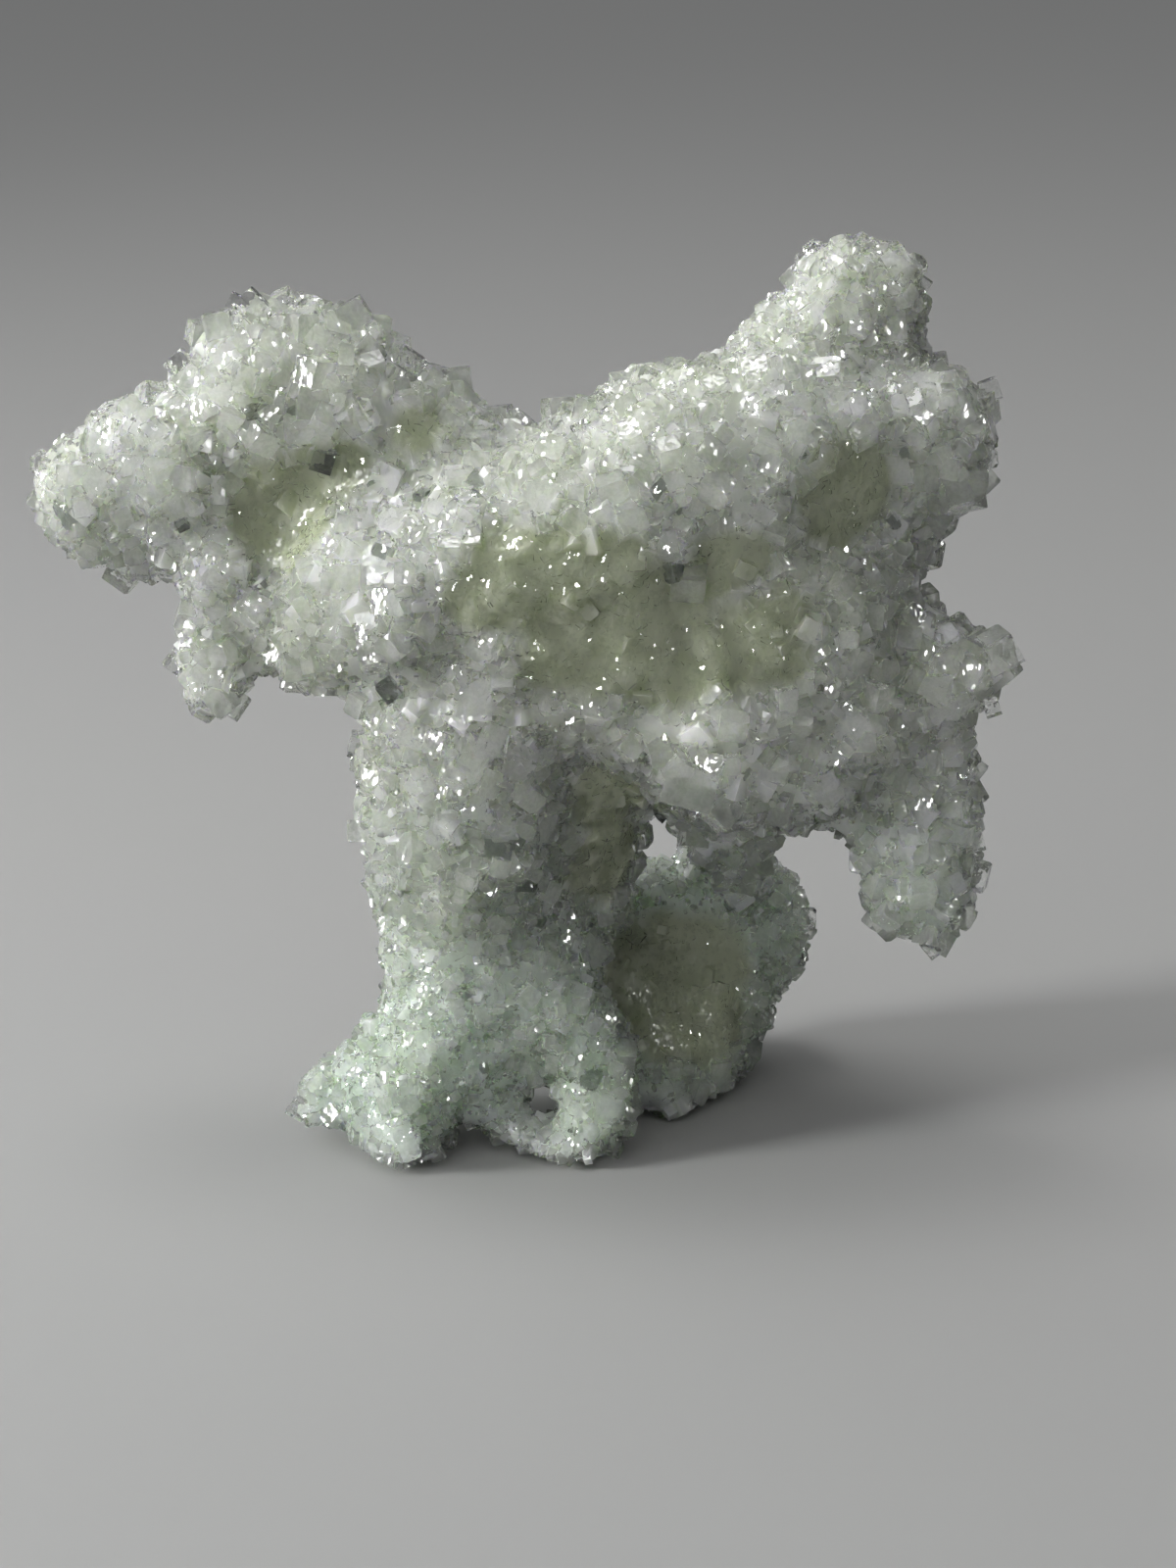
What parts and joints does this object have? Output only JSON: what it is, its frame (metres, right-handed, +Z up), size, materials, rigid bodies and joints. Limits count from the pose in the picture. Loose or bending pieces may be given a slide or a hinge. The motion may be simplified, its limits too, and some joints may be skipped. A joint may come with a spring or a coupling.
{
  "type": "prehnite pseudomorph mineral specimen",
  "caption": "Free-standing branching growth of pale green prehnite, crusted with small clear blocky crystals, standing on splayed feet.",
  "frame": {"origin": "middle of the bounding box in X and Y, on the surface that the feet stand on", "axes": "+X to the right of the front view, along the longest extent; +Y to the back, along the shortest; +Z up"},
  "size_m": [0.0778, 0.0292, 0.0727],
  "materials": {
    "prehnite": "translucent pale mint green prehnite, crystal faces glossy"
  },
  "bodies": {
    "root": {"prehnite_cluster": "prehnite"}
  },
  "joints": []
}
